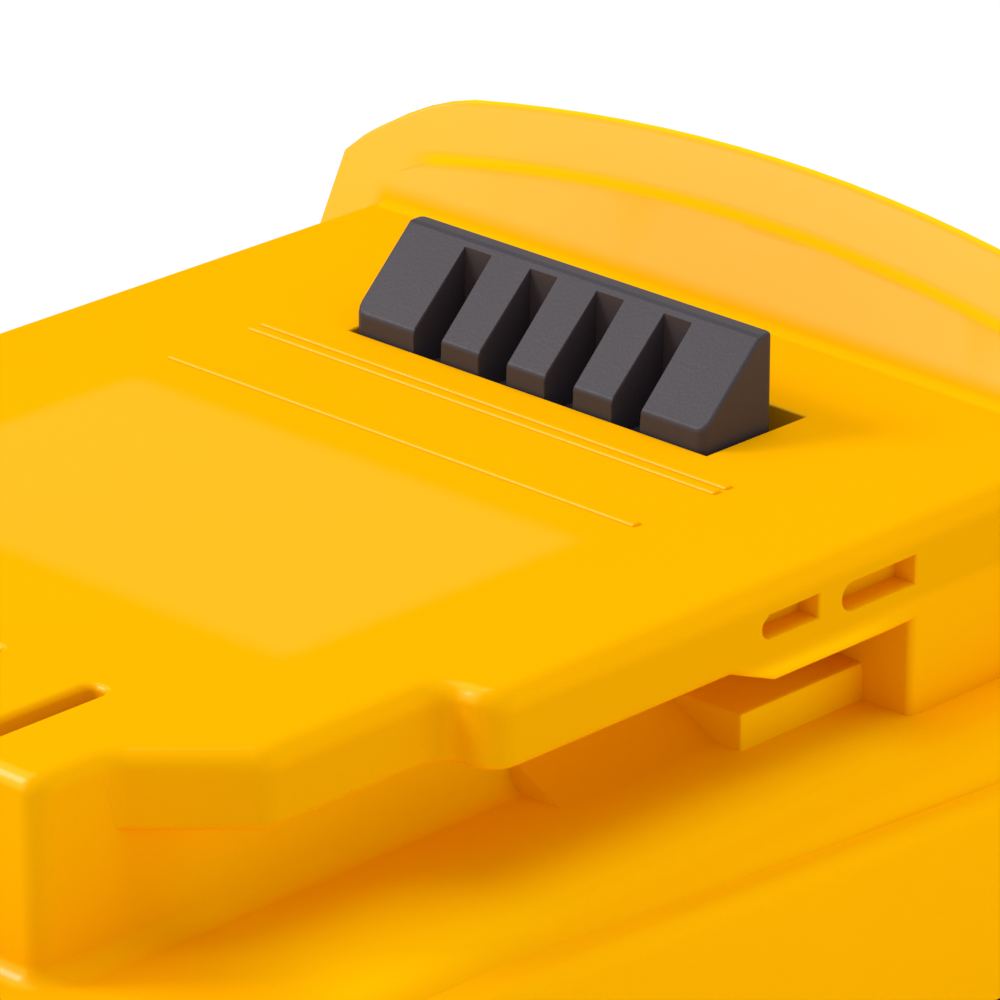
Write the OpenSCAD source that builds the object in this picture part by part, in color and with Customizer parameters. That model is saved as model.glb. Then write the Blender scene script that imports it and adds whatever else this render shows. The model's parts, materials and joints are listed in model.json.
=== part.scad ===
// Slide-on battery pack for cordless tools, in millimetres.
// X is the width, -Y the terminal end, +Y the end with the thumb button, Z up from the resting face.

/* [Cells] */
// Diameter of one cell
cell_d = 18.3; // [17.8:0.1:19]
// Length of one cell from end to end
cell_l = 65; // [62:0.5:70]
// Gap between neighbouring cells
cell_gap = 0.9; // [0.6:0.1:2]
// Diameter of a cell's positive cap
cap_d = 8; // [6:0.5:10]
// Height of a cell's positive cap
cap_h = 0.8; // [0.6:0.1:1.2]
// Thickness of the foam pad under the cells
pad_t = 0.5; // [0.3:0.1:1]

/* [Shells] */
// Wall thickness of both shells
wall = 2.2; // [1.9:0.1:2.6]
// How far the side panels stand proud of the shoulder
panel_t = 1.3; // [0.8:0.1:2]
// Height of the parting line between the shells
parting_z = 12; // [11.5:0.5:14]
// Corner radius of the body in plan
corner_r = 9; // [8:0.5:12]
// Radius of the shoulder's edge
shoulder_r = 3.5; // [2:0.5:5]
// Radius of the bottom edge
bottom_r = 2.5; // [1:0.5:4]
// Room for bosses, gauge and latch at each end of the row of cells
end_room = 7.75; // [7:0.25:10]
// Room beside the cells for strips and sheets
side_room = 1.5; // [1.2:0.1:3]
// Room over the cells for tabs and ribbons
top_room = 2.9; // [2.8:0.1:4]
// Height of the tongue along the parting line
tongue_h = 1.4; // [1:0.1:2]
// Fall of the side panel's top edge, from its level stretch to the rear
panel_fall = 4.1; // [2:0.1:6]
// Length of the level stretch of the side panel's top edge
panel_level = 28; // [10:1:60]

/* [Rail] */
// Height of the deck over the shoulder
rail_h = 11.9; // [11:0.1:14]
// Thickness of the deck over the hollow
deck_t = 2.4; // [2:0.1:3]
// Width of the deck
deck_w = 60; // [58:0.5:62]
// Width of the flange ahead of the step
flange_w = 52.6; // [50:0.2:53]
// Width of the neck
neck_w = 41; // [39:0.5:44]
// Set-back of the neck behind the front of the body
ledge = 6; // [4:0.5:9]
// Distance from the neck's front to the flange's lead-in
lead_y = 5.5; // [4:0.5:8]
// Distance from the neck's front to the step in the flange
step_y = 24.3; // [22:0.1:28]
// Thickness of the flange
flange_t = 4.65; // [4:0.05:5]
// Thickness of the flange behind its ramp
flange_rear_t = 6.1; // [5.5:0.1:7]
// Distance from the neck's front to the ramp under the flange
ramp_y = 43.4; // [40:0.1:45]
// Distance from the neck's front to the solid wall that ends the groove
block_y = 58.5; // [56:0.5:60]
// Distance from the neck's front to the ramp on the groove's floor
floor_ramp_y = 35.5; // [34:0.1:38]
// Distance from the neck's front to the step on the groove's floor
floor_step_y = 48.2; // [46:0.1:50]

/* [Terminals] */
// Distance from the middle to the inner pair of slots
slot_inner_x = 5.5; // [4:0.1:6]
// Distance from the middle to the outer pair of slots
slot_outer_x = 13.7; // [12:0.1:14]
// Width of a terminal slot
slot_w = 2.4; // [2:0.1:3]
// Length of a terminal slot from the neck's front
slot_l = 11.4; // [9:0.1:13]
// Depth of a terminal slot below the deck
slot_depth = 9.5; // [7:0.1:10]

/* [Hump] */
// Height of the rear hump over the deck
hump_h = 9.2; // [7:0.05:11]
// How far the hump stands out beyond the deck on each side
hump_side = 3.2; // [2:0.1:4]
// Distance from the neck's front to the hump's face at deck height
hump_y = 75; // [73:0.5:78]
// Lean of the hump's face from upright, in degrees
hump_lean = 27.5; // [15:0.5:35]
// Fall of the hump's roof towards the rear, in degrees
hump_tilt = 39; // [37:0.5:40]
// Crown radius of the hump
crown_r = 140; // [120:1:160]
// Radius of the hump's shoulders
crown_side_r = 15.2; // [14.6:0.2:17]
// Depth of the scooped field in the hump's face
field_depth = 0.4; // [0.3:0.1:0.8]
// Height of the band between that field and the ridge
field_drop = 3.8; // [3:0.1:4.5]
// Distance from the rear of the body to the hump's rear wall
hump_back = 7; // [6:0.25:7.5]

/* [Latch] */
// Width of the latch tooth
tooth_w = 28.5; // [24:0.1:30]
// Length of the latch tooth
tooth_l = 5.9; // [5:0.1:7]
// Height of the tooth over the deck
tooth_h = 5.92; // [4:0.02:7]
// Height of the tooth's upright front face over the deck
tooth_front_h = 1.24; // [1:0.02:2.5]
// Length of the flat strip on top of the tooth
tooth_top_l = 1.1; // [0.8:0.1:3]
// Distance from the neck's front to the tooth
tooth_y = 58.1; // [57:0.1:60]
// Width of one slot in the tooth
tooth_slot_w = 2.25; // [2:0.05:3]
// Width of one rib between the slots
tooth_rib_w = 3.15; // [2.5:0.05:3.5]
// Travel of the latch
latch_travel = 6; // [5:0.1:6.5]
// Width of the thumb button
button_w = 29; // [24:0.5:32]
// Distance from the neck's front to the thumb button
button_y = 88.8; // [88.4:0.1:89]
// Length of the thumb button
button_l = 10; // [8:0.5:10]
// How far the thumb button stands over the hump's roof
button_proud = 1.2; // [0.8:0.1:1.6]
// Wire diameter of the latch springs
spring_wire = 0.7; // [0.5:0.05:0.9]
// Mean diameter of the latch springs
spring_d = 5.2; // [4.8:0.1:6]
// Turns of a latch spring
spring_turns = 5; // [4:1:6]

/* [Gauge] */
// Height of the charge gauge's middle
gauge_z = 6.8; // [6.5:0.1:7.5]
// Width of the gauge's lens
lens_w = 17; // [12:0.5:18]
// Height of the gauge's lens
lens_h = 4; // [3:0.2:5]
// Diameter of the gauge's button
gauge_d = 5.6; // [4.5:0.1:6]
// Travel of the gauge's button
gauge_travel = 0.8; // [0.4:0.1:0.8]

/* [Hardware] */
// Diameter of a housing screw
screw_d = 2.9; // [2.5:0.1:3]
// Length of a housing screw under its head
screw_l = 15; // [13:0.5:18]
// Thickness of the boards
board_t = 1.6; // [1:0.1:1.6]
// Thickness of the nickel strips
strip_t = 0.3; // [0.2:0.05:0.4]

/* [Hidden] */
$fn = 48;

// Colours
yellow = [0.98, 0.70, 0.02];
charcoal = [0.20, 0.19, 0.21];
nickel = [0.75, 0.74, 0.70];
board_green = [0.06, 0.32, 0.18];

// Clearances: between sliding faces, between fixed faces, past a cut face, and into a joined solid
slide_gap = 0.3;
fit_gap = 0.15;
over = 1;
bite = 0.5;

// Main places
cells = 5;
pitch = cell_d + cell_gap;
cells_l = cells * cell_d + (cells - 1) * cell_gap;
body_w = cell_l + 2 * (side_room + wall + panel_t);
body_l = cells_l + 2 * (end_room + wall);
y_front = -body_l / 2;
y_rear = body_l / 2;
cell_z = wall + pad_t + cell_d / 2;
cells_top = cell_z + cell_d / 2;
ceiling_z = cells_top + top_room;
shoulder_z = ceiling_z + wall;
deck_z = shoulder_z + rail_h;
deck_under = deck_z - deck_t;
neck_y = y_front + ledge;
in_w = body_w - 2 * (wall + panel_t);
in_l = body_l - 2 * wall;
in_r = corner_r - wall;
end_step = 0.5;
panel_drop = 0.7;
function cell_y(i) = (i - (cells - 1) / 2) * pitch;

// Screw bosses
boss_wall = 1.45;
boss_side = 8;
boss_r = screw_d / 2 + boss_wall;
boss_x = in_w / 2 - boss_side;
boss_inset = boss_r - slide_gap;
screw_rim = 1.05;
screw_head_r = screw_d / 2 + screw_rim;
screw_head_h = 1.6;
screw_recess = 2;
pilot_gap = 0.1;
pilot_over = 1.5;
boss_spots = [for (sx = [-1, 1]) for (sy = [-1, 1]) [sx * boss_x, sy * (in_l / 2 - boss_inset)]];

// Latch places
tooth_front = neck_y + tooth_y;
tooth_back = tooth_front + tooth_l;
well_behind = 2.6;
plate_top = deck_under - slide_gap;
plate_t = 2.3;
plate_z = plate_top - plate_t;
button_y0 = neck_y + button_y;
button_y1 = button_y0 + button_l;
holder_cover = 0.8;
holder_top = cells_top + holder_cover;
holder_in_x = 14;
spring_inset = 4.3;
spring_x = deck_w / 2 - wall - spring_inset;
spring_y = cell_y(3.3);
spring_post_gap = 0.6;
spring_post_r = (spring_d - spring_wire) / 2 - spring_post_gap;
spring_post_h = 1.8;

// Hump places
hump_w = deck_w + 2 * hump_side;
lean = tan(hump_lean);
hump_wall = 2.4;
hump_drop = hump_wall / cos(hump_tilt);
crown_side_w = 8.9;
field_margin = 1.5;
field_w = deck_w - 2 * field_margin;
field_r = (pow(field_w / 2, 2) + pow(field_depth, 2)) / (2 * field_depth);
ridge_y = neck_y + hump_y + lean * hump_h;
hump_end = y_rear - hump_back;

// Board places
board_side_gap = 0.8;
board_w = neck_w - 2 * (wall + board_side_gap);
board_y = neck_y + wall + slide_gap;
board_l = 50;
board_z = holder_top + strip_t;
board_top = board_z + board_t;
block_behind = 2.5;
block_end = neck_y + slot_l + block_behind;
slot_xs = [-slot_outer_x, -slot_inner_x, slot_inner_x, slot_outer_x];

// Gauge places: the button's flange stops a gap short of the switch when it is pressed
gauge_x = -5;
gauge_button_x = 9;
gauge_board_w = 32;
flange_lip = 0.8;
switch_h = 0.4;
lens_gap = 0.1;
gauge_flange_y = y_rear - wall - slide_gap;
gauge_board_y = gauge_flange_y - flange_lip - gauge_travel - slide_gap - switch_h - board_t;

// Points of an arc, from angle a to angle b
function arc(c, r, a, b, n = 6) =
    [for (i = [0 : n]) let (t = a + (b - a) * i / n) c + r * [cos(t), sin(t)]];
function mirrored(p) = [for (i = [len(p) - 1 : -1 : 0]) [-p[i].x, p[i].y]];

// Solid of an outline in Y and Z, centred across X
module along_x(points, w) {
    rotate([90, 0, 90]) linear_extrude(w, center = true) polygon(points);
}

// Solid of an outline in X and Z, from y0 to y1
module along_y(points, y0, y1) {
    translate([0, y1, 0]) rotate([90, 0, 0]) linear_extrude(y1 - y0) polygon(points);
}

// Box between two corners
module box(a, b) {
    translate(a) cube(b - a);
}

// Rectangle with round corners, centred on the body
module plan(w, l, r) {
    square([w - 2 * r, l], center = true);
    square([w, l - 2 * r], center = true);
    for (sx = [-1, 1]) for (sy = [-1, 1]) translate([sx * (w / 2 - r), sy * (l / 2 - r)]) circle(r);
}

// Outline of a slab of width v and height h, its top edges rounded by edge
function slab_outline(v, h, edge) =
    let (half = concat([[v / 2, 0]], arc([v / 2 - edge, h - edge], edge, 0, 90)))
    concat(half, mirrored(half));

// Slab with corners of radius r in plan and its top edge rounded by edge
module slab(w, l, h, r, edge) {
    along_y(slab_outline(w, h, edge), r - l / 2, l / 2 - r);
    along_x(slab_outline(l, h, edge), w - 2 * r);
    for (sx = [0, 1]) for (sy = [0, 1]) mirror([sx, 0, 0]) mirror([0, sy, 0])
        translate([w / 2 - r, l / 2 - r, 0]) rotate_extrude(angle = 90)
            polygon(concat([[0, 0], [r, 0]], arc([r - edge, h - edge], edge, 0, 90), [[0, h]]));
}

// Arch seen from the rear: crown, round shoulders and upright sides, with its top at the origin
arch_leg = 45;
function arch(w) =
    let (a = asin((w / 2 - crown_side_w) / crown_r))
    let (start = crown_r * [sin(a), cos(a)] - [0, crown_r])
    let (c = start - crown_side_r * [sin(a), cos(a)])
    let (b = asin((w / 2 - c.x) / crown_side_r))
    let (top = [for (i = [0 : 8]) crown_r * [sin(a * i / 8), cos(a * i / 8)] - [0, crown_r]])
    let (side = [for (i = [1 : 6]) c + crown_side_r * [sin(a + (b - a) * i / 6), cos(a + (b - a) * i / 6)]])
    let (half = concat(top, side, [[w / 2, -arch_leg]]))
    concat(half, [for (i = [len(half) - 1 : -1 : 1]) [-half[i].x, half[i].y]]);

// Long bar under such an arch, falling to the rear past the hump's ridge
module arch_bar(w, drop) {
    bar_l = body_l;
    translate([0, ridge_y, deck_z + hump_h - drop]) rotate([90 - hump_tilt, 0, 0])
        linear_extrude(bar_l, center = true) polygon(arch(w));
}

// Y of the hump's leaning face at height z
function face_y(z, inset = 0) = neck_y + hump_y + lean * (z - deck_z) + inset / cos(hump_lean);

// Outline of the hump in Y and Z, set in by an inset
hump_over = 14;
function hump_side_outline(z0, inset) = [
    [face_y(z0, inset), z0],
    [face_y(deck_z + hump_over, inset), deck_z + hump_over],
    [hump_end - inset, deck_z + hump_over],
    [hump_end - inset, z0]];

// Height of the hump's roof over the middle of the pack, raised by a lift
function roof_z(y, lift = 0) = deck_z + hump_h + lift - tan(hump_tilt) * (y - ridge_y);

// Hump with round rear corners, standing on the shoulder
module hump_solid() {
    intersection() {
        arch_bar(hump_w, 0);
        along_x(hump_side_outline(shoulder_z - over, 0), hump_w + 2 * over);
        translate([0, -hump_back, 0]) linear_extrude(deck_z + 2 * hump_h) plan(hump_w, body_l, corner_r);
    }
}

module hump_hollow() {
    intersection() {
        arch_bar(hump_w - 2 * hump_wall, hump_drop);
        along_x(hump_side_outline(ceiling_z - over, hump_wall), deck_w - 2 * wall);
    }
}

// Scooped field in the hump's face, under a band that follows the ridge
module hump_field() {
    intersection() {
        arch_bar(hump_w, field_drop * (1 + lean * tan(hump_tilt)));
        box([-field_w / 2, face_y(deck_z, -over), deck_z], [field_w / 2, y_rear, deck_z + hump_over]);
        translate([0, face_y(deck_z), deck_z]) rotate([-hump_lean, 0, 0])
            translate([0, field_depth - field_r, -over]) cylinder(r = field_r, h = hump_over, $fn = 720);
    }
}

// Plan of the deck: neck, lead-in, step and full width
step_in_r = 1.5;
step_out_r = 2;
step_at = neck_y + step_y;
deck_half = concat(
    [[neck_w / 2, neck_y], [neck_w / 2, neck_y + lead_y],
        [flange_w / 2, neck_y + lead_y + (flange_w - neck_w) / 2]],
    arc([flange_w / 2 + step_in_r, step_at - step_in_r], step_in_r, 180, 90),
    arc([deck_w / 2 - step_out_r, step_at + step_out_r], step_out_r, -90, 0),
    [[deck_w / 2, neck_y + hump_y]]);

// Deck with the flange's ramp on its underside
module deck() {
    ramp_l = 3.7;
    rear_z = deck_z - flange_rear_t;
    intersection() {
        translate([0, 0, rear_z - over]) linear_extrude(flange_rear_t + over)
            polygon(concat(deck_half, mirrored(deck_half)));
        along_x([[neck_y - over, deck_z], [neck_y - over, deck_z - flange_t],
            [neck_y + ramp_y, deck_z - flange_t], [neck_y + ramp_y + ramp_l, rear_z],
            [y_rear, rear_z], [y_rear, deck_z]], deck_w + 2 * over);
    }
}

// Low blocks on the groove's floor, beside the neck
module groove_blocks() {
    foot = 4.1;
    rise = 2;
    ramp_start = neck_y + floor_ramp_y;
    step_start = neck_y + floor_step_y;
    step_w = 5.8;
    step_h = 2.3;
    n = neck_w / 2;
    for (s = [0, 1]) mirror([s, 0, 0]) {
        along_y([[n - over, shoulder_z - over], [n + foot, shoulder_z - over], [n + foot, shoulder_z],
            [n, shoulder_z + rise], [n - over, shoulder_z + rise]], ramp_start, neck_y + block_y + over);
        box([n - over, step_start, shoulder_z - over],
            [n + step_w, neck_y + block_y + over, shoulder_z + step_h]);
    }
}

// Pockets in the flange's sides: distance behind the neck's front, length, distance below the deck, height
front_pocket = [45.7, 4.8, 1.9, 1.4];
rear_pocket = [52.5, 6.2, 2, 1.7];
module flange_pocket(p) {
    depth = 1.6;
    h = p[3];
    for (s = [-1, 1]) translate([s * deck_w / 2, neck_y + p[0] + h / 2, deck_z - p[2] - h / 2]) {
        box([-depth, 0, -h / 2], [depth, p[1] - h / 2, h / 2]);
        rotate([0, 90, 0]) cylinder(d = h, h = 2 * depth, center = true);
    }
}

module side_panels() {
    z = shoulder_z - panel_drop;
    intersection() {
        translate([0, 0, parting_z]) linear_extrude(z - parting_z) plan(body_w, body_l, corner_r);
        along_x([[y_front - over, 0], [y_front - over, z], [y_front + panel_level, z],
            [y_rear + over, z - panel_fall], [y_rear + over, 0]], body_w + 2 * over);
    }
}

module upper_outside() {
    translate([0, 0, parting_z])
        slab(body_w - 2 * panel_t, body_l - 2 * end_step, shoulder_z - parting_z, corner_r, shoulder_r);
    side_panels();
    box([-neck_w / 2, neck_y, shoulder_z - over], [neck_w / 2, neck_y + block_y + over, deck_z - over]);
    box([-deck_w / 2, neck_y + block_y, shoulder_z - over], [deck_w / 2, ridge_y, deck_z - over]);
    groove_blocks();
    deck();
    hump_solid();
}

module upper_hollow() {
    translate([0, 0, parting_z - over]) linear_extrude(ceiling_z - parting_z + over) plan(in_w, in_l, in_r);
    box([-neck_w / 2 + wall, neck_y + wall, ceiling_z - over],
        [neck_w / 2 - wall, neck_y + block_y + wall + over, deck_under]);
    box([-deck_w / 2 + wall, neck_y + block_y + wall, ceiling_z - over],
        [deck_w / 2 - wall, ridge_y, deck_under]);
    hump_hollow();
}

// Ring round the hollow for the tray's tongue, grown by a gap
tongue_t = 1.2;
module tongue(h, gap) {
    grow = tongue_t + gap;
    linear_extrude(h) difference() {
        plan(in_w + 2 * grow, in_l + 2 * grow, in_r + grow);
        plan(in_w - 2 * gap, in_l - 2 * gap, in_r - gap);
    }
}

module upper_housing() color(yellow) difference() {
    union() {
        difference() {
            upper_outside();
            upper_hollow();
            hump_field();
            flange_pocket(front_pocket);
            flange_pocket(rear_pocket);
        }
        for (p = boss_spots) translate([p.x, p.y, parting_z])
            cylinder(r = boss_r, h = ceiling_z - parting_z + bite);
    }
    for (p = boss_spots) translate([p.x, p.y, parting_z - over])
        cylinder(d = screw_d + pilot_gap, h = screw_recess + screw_l + pilot_over - parting_z + over);
    translate([0, 0, parting_z]) tongue(tongue_h + fit_gap, fit_gap);
    box([-tooth_w / 2 - slide_gap, tooth_front - slide_gap, deck_under - over],
        [tooth_w / 2 + slide_gap, tooth_back + well_behind, deck_z + over]);
    box([-button_w / 2 - slide_gap, button_y0 - slide_gap, ceiling_z],
        [button_w / 2 + slide_gap, button_y1 + slide_gap, deck_z + hump_over]);
    for (x = slot_xs)
        box([x - slot_w / 2, neck_y - over, deck_z - slot_depth],
            [x + slot_w / 2, neck_y + slot_l, deck_z + over]);
}

module lower_housing() color(charcoal) difference() {
    union() {
        difference() {
            translate([0, 0, parting_z]) mirror([0, 0, 1])
                slab(body_w, body_l, parting_z, corner_r, bottom_r);
            translate([0, 0, wall]) linear_extrude(parting_z) plan(in_w, in_l, in_r);
        }
        for (p = boss_spots) translate([p.x, p.y, wall - bite])
            cylinder(r = boss_r, h = parting_z - wall + bite);
        tongue_ring();
    }
    for (p = boss_spots) {
        translate([p.x, p.y, -over]) cylinder(r = screw_head_r + fit_gap, h = screw_recess + over);
        translate([p.x, p.y, 0]) cylinder(r = screw_d / 2 + fit_gap, h = parting_z + over);
    }
    gauge_cuts();
    base_panel();
}

// Shallow panel in the resting face
module base_panel() {
    depth = 0.4;
    side = 13;
    end = 17;
    r = 3;
    translate([0, 0, depth - over]) linear_extrude(over) plan(body_w - 2 * side, body_l - 2 * end, r);
}

// Tongue that stands on the tray's rim, clear of the screw bosses
module tongue_ring() translate([0, 0, parting_z]) difference() {
    translate([0, 0, -bite]) tongue(tongue_h + bite, 0);
    for (p = boss_spots) translate([p.x, p.y, 0]) cylinder(r = boss_r + fit_gap, h = tongue_h + over);
}

module gauge_cuts() {
    w = lens_w / 2 + lens_gap;
    h = lens_h / 2 + lens_gap;
    box([gauge_x - w, y_rear - wall - over, gauge_z - h], [gauge_x + w, y_rear + over, gauge_z + h]);
    translate([gauge_button_x, y_rear + over, gauge_z]) rotate([90, 0, 0])
        cylinder(d = gauge_d + 2 * slide_gap, h = wall + 2 * over);
}

module housing_screws() color("dimgray") for (p = boss_spots) translate([p.x, p.y, screw_recess]) {
    drive_d = 2.2;
    drive_depth = 1;
    cylinder(d = screw_d, h = screw_l);
    difference() {
        translate([0, 0, -screw_head_h]) cylinder(r = screw_head_r, h = screw_head_h);
        translate([0, 0, -screw_head_h - over]) cylinder(d = drive_d, h = drive_depth + over, $fn = 6);
    }
}

// Tooth in Y and Z: upright front, slope and flat top
module tooth() {
    z0 = plate_z;
    outline = [[tooth_front, z0], [tooth_front, deck_z + tooth_front_h],
        [tooth_back - tooth_top_l, deck_z + tooth_h], [tooth_back, deck_z + tooth_h], [tooth_back, z0]];
    slots = 4;
    back = 0.4;
    step = tooth_slot_w + tooth_rib_w;
    difference() {
        along_x(outline, tooth_w);
        for (i = [0 : slots - 1]) translate([(i - (slots - 1) / 2) * step, 0, 0])
            box([-tooth_slot_w / 2, tooth_front - over, deck_z - over],
                [tooth_slot_w / 2, tooth_back - tooth_top_l - back, deck_z + tooth_h + over]);
    }
}

// Thumb button: a wedge that follows the hump's roof, with grip ribs across it
module thumb_button() {
    button_t = 1.8;
    turn_y = ridge_y + (deck_z + hump_h - button_t - plate_z) / tan(hump_tilt);
    top = button_proud + over;
    outline = [[button_y0, plate_z], [turn_y, plate_z], [button_y1, roof_z(button_y1, -button_t)],
        [button_y1, roof_z(button_y1, top)], [button_y0, roof_z(button_y0, top)]];
    ribs = 5;
    rib_h = 0.6;
    rib_w = button_l / (2 * ribs - 1);
    intersection() {
        along_x(outline, button_w);
        union() {
            arch_bar(hump_w, rib_h - button_proud);
            intersection() {
                arch_bar(hump_w, -button_proud);
                for (i = [0 : ribs - 1]) translate([-button_w, button_y0 + 2 * i * rib_w, plate_z])
                    cube([2 * button_w, rib_w, deck_z]);
            }
        }
    }
}

module release_latch() color(charcoal) {
    arm_w = tooth_w - 1;
    wing_gap = 1;
    wing_w = deck_w - 2 * (wall + wing_gap);
    wing_l = 10;
    post_h = 2;
    tooth();
    box([-arm_w / 2, tooth_front, plate_z], [arm_w / 2, button_y0 + over, plate_top]);
    box([-wing_w / 2, spring_y - wing_l / 2, plate_z], [wing_w / 2, spring_y + wing_l / 2, plate_top]);
    thumb_button();
    for (s = [-1, 1]) translate([s * spring_x, spring_y, plate_z - post_h])
        cylinder(r = spring_post_r, h = post_h + bite);
}

// Wound spring: rings of six points along a helix, joined by triangles and capped
spring_rings = 8;
spring_sides = 6;
spring_seat = 0.05;
spring_lift = spring_wire / 2 + spring_seat;
spring_rise = plate_z - holder_top - 2 * spring_lift;
function spring_at(t) = [spring_d / 2 * cos(360 * t), spring_d / 2 * sin(360 * t),
    holder_top + spring_lift + spring_rise * t / spring_turns];
function spring_ring(t) =
    let (p = spring_at(t), out = [cos(360 * t), sin(360 * t), 0])
    [for (k = [0 : spring_sides - 1])
        p + spring_wire / 2 * (cos(360 * k / spring_sides) * out + sin(360 * k / spring_sides) * [0, 0, 1])];
spring_steps = spring_turns * spring_rings;
spring_path = [for (i = [0 : spring_steps]) spring_at(i / spring_rings)];
spring_least = min([for (i = [0 : spring_steps]) for (j = [i + spring_rings / 2 : spring_steps])
    norm(spring_path[i] - spring_path[j])]) - spring_wire;
echo(str("least gap of a latch spring to itself: ", spring_least, " mm"));

module latch_spring(s) color("silver") {
    n = spring_sides;
    points = [for (i = [0 : spring_steps]) each spring_ring(i / spring_rings)];
    last = spring_steps * n;
    sides = [for (i = [0 : spring_steps - 1]) for (k = [0 : n - 1])
        let (a = i * n + k, b = i * n + (k + 1) % n)
        each [[a, b, b + n], [a, b + n, a + n]]];
    first_cap = [for (k = [1 : n - 2]) [0, k + 1, k]];
    last_cap = [for (k = [1 : n - 2]) [last, last + k, last + k + 1]];
    translate([s * spring_x, spring_y, 0]) polyhedron(points, concat(sides, first_cap, last_cap));
}

// Round cell with a crimped neck, its positive cap towards +X for even places
module cell(i) {
    r = cell_d / 2;
    h = cell_l / 2;
    can = h - cap_h;
    round = 0.6;
    crimp = can - 3.4;
    color(i % 2 == 0 ? "steelblue" : "cadetblue") translate([0, cell_y(i), cell_z])
        rotate([0, i % 2 == 0 ? 90 : -90, 0]) rotate_extrude()
            polygon([[0, -h], [r - round, -h], [r, round - h], [r, crimp - round], [r - round, crimp],
                [r, crimp + round], [r, can - round], [r - round, can], [cap_d / 2, can],
                [cap_d / 2, h], [0, h]]);
}

module cell_insulators() color("white") for (i = [0 : cells - 1]) {
    s = i % 2 == 0 ? 1 : -1;
    ring_t = 0.3;
    rim = 0.8;
    translate([s * (cell_l / 2 - cap_h), cell_y(i), cell_z]) rotate([0, s * 90, 0]) difference() {
        cylinder(d = cell_d - 2 * rim, h = ring_t);
        translate([0, 0, -over]) cylinder(d = cap_d + 2 * slide_gap, h = ring_t + 2 * over);
    }
}

// Holder at one end of the cells, with legs between them and a post for the latch spring
module cell_holder(s) color([0.25, 0.25, 0.27]) mirror([s < 0 ? 1 : 0, 0, 0]) {
    end_t = 0.5;
    gap_w = 12;
    difference() {
        box([holder_in_x, -cells_l / 2 - end_t, wall],
            [cell_l / 2, cells_l / 2 + end_t, holder_top]);
        for (i = [0 : cells - 1]) {
            translate([holder_in_x - over, cell_y(i), cell_z]) rotate([0, 90, 0])
                cylinder(d = cell_d + 2 * fit_gap, h = cell_l);
            box([holder_in_x - over, cell_y(i) - gap_w / 2, 0], [cell_l, cell_y(i) + gap_w / 2, cell_z]);
        }
    }
    translate([spring_x, spring_y, holder_top - bite]) cylinder(r = spring_post_r, h = spring_post_h + bite);
}

// Strip on the cell ends from y0 to y1, with a tab folded in over the holder
module strip(s, y0, y1, tab_y, tab_in) color(nickel) mirror([s < 0 ? 1 : 0, 0, 0]) {
    r = 4;
    x0 = cell_l / 2;
    tab_w = 5;
    split_l = 5;
    split_h = 0.8;
    difference() {
        union() {
            for (y = [y0, y1]) translate([x0, y, cell_z]) rotate([0, 90, 0]) cylinder(r = r, h = strip_t);
            if (y1 > y0) box([x0, y0, cell_z - r], [x0 + strip_t, y1, cell_z + r]);
        }
        for (y = [y0, y1]) box([x0 - over, y - split_l / 2, cell_z - split_h / 2],
            [x0 + over, y + split_l / 2, cell_z + split_h / 2]);
    }
    box([x0, tab_y - tab_w / 2, cell_z + r / 2], [x0 + strip_t, tab_y + tab_w / 2, holder_top + strip_t]);
    box([tab_in, tab_y - tab_w / 2, holder_top], [x0 + strip_t, tab_y + tab_w / 2, holder_top + strip_t]);
}

tab_lap = 2;
tab_fold = 3.5;
tab_under = board_w / 2 - tab_lap;
tab_short = cell_l / 2 - tab_fold;
// Flat lead from the last cell to the board, beside the holder's outer edge
module strip_positive() color(nickel) {
    lead_w = 3;
    lead_x = cell_l / 2 - lead_w;
    turn_w = 4;
    turn_y = board_y + board_l - turn_w - over;
    strip(1, cell_y(4), cell_y(4), cell_y(4), tab_short);
    box([lead_x, turn_y, holder_top], [lead_x + lead_w, cell_y(4), holder_top + strip_t]);
    box([tab_under, turn_y, holder_top], [lead_x + lead_w, turn_y + turn_w, holder_top + strip_t]);
}

// Link on the lead's own side: its tab stays upright, clear of the lead
link_tab_y = cell_y(2.5);
module strip_3_4() strip(1, cell_y(2), cell_y(3), link_tab_y, cell_l / 2);

module insulation(s) color("ivory") {
    x0 = cell_l / 2 + strip_t;
    sheet_t = 0.4;
    margin = 1;
    mirror([s < 0 ? 1 : 0, 0, 0])
        box([x0, -cells_l / 2 + margin, wall + margin],
            [x0 + sheet_t, cells_l / 2 - margin, holder_top]);
}

module cell_foam() color("dimgray")
    box([-holder_in_x + over, -cells_l / 2, wall],
        [holder_in_x - over, cells_l / 2, wall + pad_t]);

module control_board() color(board_green)
    box([-board_w / 2, board_y, board_z], [board_w / 2, board_y + board_l, board_top]);

// Power switches, fuse, controller, capacitors and small parts on the board
module board_parts() color([0.13, 0.13, 0.14]) translate([0, block_end + part_gap, board_top]) {
    for (i = [0, 1]) translate([power_switch_x + i * power_switch_step, 0, 0]) cube(power_switch);
    translate([fuse_x, 0, 0]) cube(fuse);
    translate([-controller.x / 2, controller_y, 0]) cube(controller);
    for (x = [capacitor_left_x, capacitor_right_x])
        translate([x, capacitor_y, 0]) cylinder(d = capacitor_d, h = capacitor_h);
    for (i = [0 : 3]) translate([small_x + i * small_step, small_y, 0]) cube(small_part);
}
part_gap = 4;
power_switch = [6, 6, 1.5];
power_switch_x = -14;
power_switch_step = 8;
fuse = [8, 5, 2];
fuse_x = 5;
controller = [10, 10, 1];
controller_y = 11;
capacitor_d = 4;
capacitor_h = 2.2;
capacitor_left_x = -12;
capacitor_right_x = 11;
capacitor_y = 15;
small_part = [1.6, 1.6, 0.8];
small_x = -13;
small_step = 3;
small_y = 25;

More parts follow.
